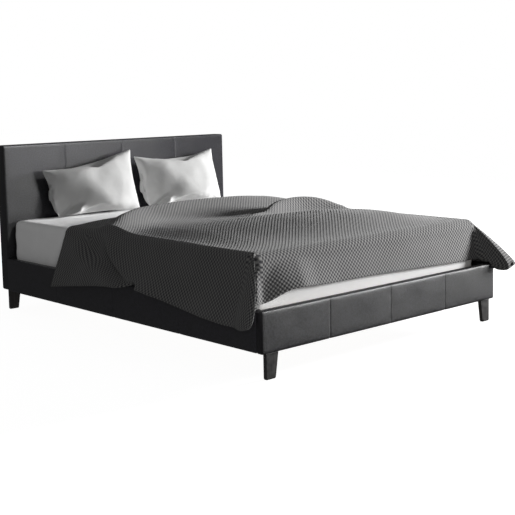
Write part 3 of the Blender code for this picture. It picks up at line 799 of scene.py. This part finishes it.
# The skirt is columns, from the left head corner round the foot to the right head corner.
columns = {}
for side, end in ((-1, 0), (1, -1)):
    columns[side] = []
    for y, row in zip(down, rows):
        x = side * inset_x
        top_y, top_z = row[end][0][1:]
        start = np.array((x, top_y, rest_z))
        shoulder = np.array((side * (edge_x + 0.012), top_y, rest_z - 0.03))
        columns[side].append(hung(start, np.array((side, 0, 0)), shoulder, side_hem(top_y, side),
                                  (x, y), (side, 0), top_z - rest_z))
foot = []
for x, (top, _) in zip(across, rows[0]):
    start = np.array((x, inset_y, rest_z))
    height = (0.332 + 0.012 * math.sin(2.6 * x + 2.4) + 0.018 * math.exp(-((x + 0.54) / 0.12) ** 2)
              - 0.034 * smooth_step(-x, 0.58, 0.74))
    back = np.interp(-x, (0.28, 0.44, 0.53, 0.60, 0.735), (0, -0.014, -0.034, -0.020, 0.022))
    hem = np.array((x * 1.005, foot_face + 0.056 + back, height))
    back = np.interp(-x, (0.45, 0.58, 0.645, 0.735), (0, -0.010, -0.020, 0.013))
    shoulder = np.array((x, edge_y - 0.018 + back, rest_z - 0.035))
    foot.append(hung(start, np.array((0, -1, 0)), shoulder, hem, (x, inset_y), (0, -1), top[2] - rest_z))


def corner(side, keys, side_column, foot_column):
    """The cloth's corner: a fan of columns. keys hold a turn in degrees, a column's hem and its middle,
    each as across, distance from the foot rail's front, up."""
    middle = LEVELS // 2
    turns = np.array([0] + [turn for turn, _, _ in keys] + [90], float)
    lines = np.array([[*hem, *passed] for _, hem, passed in keys])
    lines[:, [1, 4]] += foot_face
    ends = [np.concatenate([column[-1][0], column[middle][0]]) for column in (side_column, foot_column)]
    lines = np.vstack([ends[0], lines, ends[1]])
    shares = curve_shares(eased(np.linspace(0, 1, LEVELS)[middle]))
    some = [side_column]
    for turn in (90.0 * step / FAN for step in range(1, FAN)):
        before = min(int(np.searchsorted(turns, turn, side="right")) - 1, len(turns) - 2)
        share = (turn - turns[before]) / (turns[before + 1] - turns[before])
        share = 0.4 * share + 0.6 * smooth_step(share, 0.0, 1.0)
        line = lines[before] * (1 - share) + lines[before + 1] * share
        hem, passed = line[:3], line[3:]
        angle = math.radians(turn)
        out = np.array((side * math.cos(angle), -math.sin(angle), 0))
        start = np.array((side * inset_x, inset_y, rest_z)) + out * 0.001
        # The shoulder that makes this column's curve pass its middle place.
        others = start * shares[0] + (start + out * SHOULDER) * shares[1] + hem * shares[3]
        shoulder = hem + ((passed - others) / shares[2] - hem) / KNEE
        some.append(hung(start, out, shoulder, hem, start[:2], out[:2], 0))
    return some + [foot_column]


left_corner = corner(-1, (
    (14, (-0.866, 0.100, 0.219), (-0.832, 0.070, 0.400)),
    (28, (-0.864, 0.074, 0.217), (-0.838, 0.034, 0.402)),
    (36, (-0.858, 0.062, 0.222), (-0.830, 0.006, 0.408)),
    (44, (-0.838, 0.042, 0.246), (-0.806, 0.052, 0.415)),
    (54, (-0.814, 0.046, 0.272), (-0.788, 0.094, 0.420)),
    (66, (-0.790, 0.036, 0.288), (-0.784, 0.100, 0.430)),
    (78, (-0.765, 0.060, 0.300), (-0.756, 0.082, 0.440))), columns[-1][0], foot[0])
right_corner = corner(1, (
    (14, (0.864, 0.000, 0.262), (0.826, 0.050, 0.410)),
    (30, (0.864, -0.080, 0.300), (0.820, 0.022, 0.420)),
    (38, (0.838, -0.058, 0.280), (0.808, 0.014, 0.415)),
    (50, (0.805, -0.034, 0.262), (0.792, 0.006, 0.410)),
    (62, (0.775, 0.005, 0.285), (0.768, 0.035, 0.420)),
    (76, (0.752, 0.045, 0.315), (0.750, 0.052, 0.430))), columns[1][0], foot[-1])

skirt = columns[-1][::-1] + left_corner[1:] + foot[1:-1] + right_corner[::-1] + columns[1][1:]
sheet.grid(skirt)
points, flat = np.array(sheet.points), np.array(sheet.flat)

# The pleat across the left side: a rim standing proud, a step in behind it, then a narrow valley
# and a loose flap. Each line holds up, distance from the foot rail's front.
RIM = ((0.515, 1.20), (0.403, 1.06), (0.331, 0.926), (0.290, 0.77))
VALLEY = ((0.53, 1.43), (0.451, 1.308), (0.378, 1.178), (0.335, 0.992), (0.305, 0.84))


def beside(line):
    """How far each point lies behind a line up the side."""
    heights, places = zip(*sorted(line))
    return points[:, 1] - foot_face - np.interp(points[:, 2], heights, places)


on_left = smooth_step(-points[:, 0], edge_x - 0.010, edge_x + 0.022)
from_rim = beside(RIM)
from_valley = beside(VALLEY)
rim = 0.048 * np.exp(-np.clip(-from_rim, 0, None) / 0.14) * (1 - smooth_step(from_rim, -0.010, 0.030))
step = -0.040 * smooth_step(from_rim, -0.004, 0.040) * (1 - smooth_step(from_valley, 0.0, 0.14))
trough = -0.044 * np.exp(-(from_valley / 0.040) ** 2)
flap = 0.018 * np.exp(-((from_valley - 0.15) / 0.10) ** 2)
points[:, 0] -= (rim + step + trough + flap) * on_left


def kept_out(points, low, high, radius, clear):
    """Moves points off a rounded block, so that none is nearer than clear, and none out below it."""
    low, high = np.array(low, float), np.array(high, float)
    core = np.clip(points, low + radius, high - radius)
    away = points - core
    far = np.linalg.norm(away, axis=1)
    inside = far < 1e-6
    near = (~inside) & (far < radius + clear)
    moved = points.copy()
    moved[near] = core[near] + away[near] / far[near, None] * (radius + clear)
    for i in np.nonzero(inside)[0]:
        gaps = np.concatenate([points[i] - low, high - points[i]])
        gaps[2] = FAR_OFF
        face = int(np.argmin(gaps))
        axis = face % 3
        moved[i, axis] = (high[axis] + clear) if face > 2 else (low[axis] - clear)
    return moved


# The skirt's folds are eased in turn with being held off the mattress and the rails.
clear = COVERLET_THICKNESS + KEPT_OFF
rails_low = (-rail_side, foot_face, -1.0)
rails_high = (rail_side, bed_high[1], rail_top)
on_skirt = np.arange(len(points)) >= len(rows) * len(rows[0])
for _ in range(4):
    drop = points[on_skirt].reshape(len(skirt), LEVELS, 3)
    drop[1:-1, 2:] += 0.5 * ((drop[:-2, 2:] + drop[2:, 2:]) / 2 - drop[1:-1, 2:])
    drop[:, 2:-1] += 0.5 * ((drop[:, 1:-2] + drop[:, 3:]) / 2 - drop[:, 2:-1])
    points[on_skirt] = drop.reshape(-1, 3)
    points = kept_out(points, bed_low, bed_high, MATTRESS_RADIUS, clear)
    low_ones = on_skirt & (points[:, 2] < rail_top + clear)
    points[low_ones] = kept_out(points[low_ones], rails_low, rails_high, RAIL_EDGE, clear)

mesh = bpy.data.meshes.new("coverlet_cloth")
mesh.from_pydata([tuple(p) for p in points], [], sheet.quads)
mesh.validate()
on_cloth = np.column_stack([flat, np.zeros(len(flat))]).ravel().astype(np.float32)
mesh.attributes.new("cloth", "FLOAT_VECTOR", "POINT").data.foreach_set("vector", on_cloth)
mesh.polygons.foreach_set("use_smooth", [True] * len(mesh.polygons))

# The knit is a net of small raised squares, set cornerwise to the cloth's edges. Its colour is painted
# dark in the hollows between the squares and lighter on their tops: painted shade.
paint = Finish("coverlet_knit")
place = paint.node("Attribute", {"attribute_name": "cloth"}, out="Vector")
u, v, _ = (place / KNIT_CELL).parts()
rib_up = ((u + v) * (2 * math.pi)).sine()
rib_down = ((u - v) * (2 * math.pi)).sine()
fuzz = paint.noise(place, 900.0, 3.0)
relief = (rib_up + rib_down) * 0.25 + fuzz * 0.10 + 0.45
shade = paint.range(relief, 0.12, 0.92, 0.0, 1.0)
worn = paint.range(paint.noise(place, 5.0, 2.0), 0.4, 0.7, 0.0, 0.2)
# Painted shade: the yarn colour runs from near black in the hollows to grey on the raised squares.
yarn_and_hollow_shade = paint.mixed(shade, (0.019, 0.019, 0.023), (0.152, 0.150, 0.145))
yarn_and_hollow_shade = paint.mixed(worn, yarn_and_hollow_shade, (0.12, 0.118, 0.12))
mesh.materials.append(paint.surface(
    Base_Color=yarn_and_hollow_shade, Roughness=paint.range(shade, 0.0, 1.0, 0.95, 0.8),
    Normal=paint.bump(relief, 0.8, 0.0024),
    Sheen_Weight=0.12, Sheen_Roughness=0.5, Specular_IOR_Level=0.3))
coverlet = bpy.data.objects.new("coverlet_cloth", mesh)
bpy.context.scene.collection.objects.link(coverlet)
weld = coverlet.modifiers.new("join", "WELD")
weld.merge_threshold = 0.0004
thickened(coverlet, COVERLET_THICKNESS)
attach(coverlet, "coverlet")
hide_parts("coverlet")

# Three lamps with no gloss, for the knit, the bare strips of mattress and the left side. The key
# lamp lights everything but the coverlet.
knit_key = lamp("knit_key", 58, 9, LAMP_REACH, 0.9, 1500)
strip_key = lamp("strip_key", 45, 12, LAMP_REACH, 1.2, 330)
side_fill = lamp("side_fill", -38, 8, LAMP_REACH, 1.5, 46)
for light in (knit_key, strip_key, side_fill):
    light.visible_glossy = False
only_on(knit_key, coverlet)
only_on(strip_key, mattress)
only_on(side_fill, coverlet, mattress, side_rail_hide)
only_on(key, *[each for each in bpy.data.objects if each.type == "MESH" and each != coverlet])
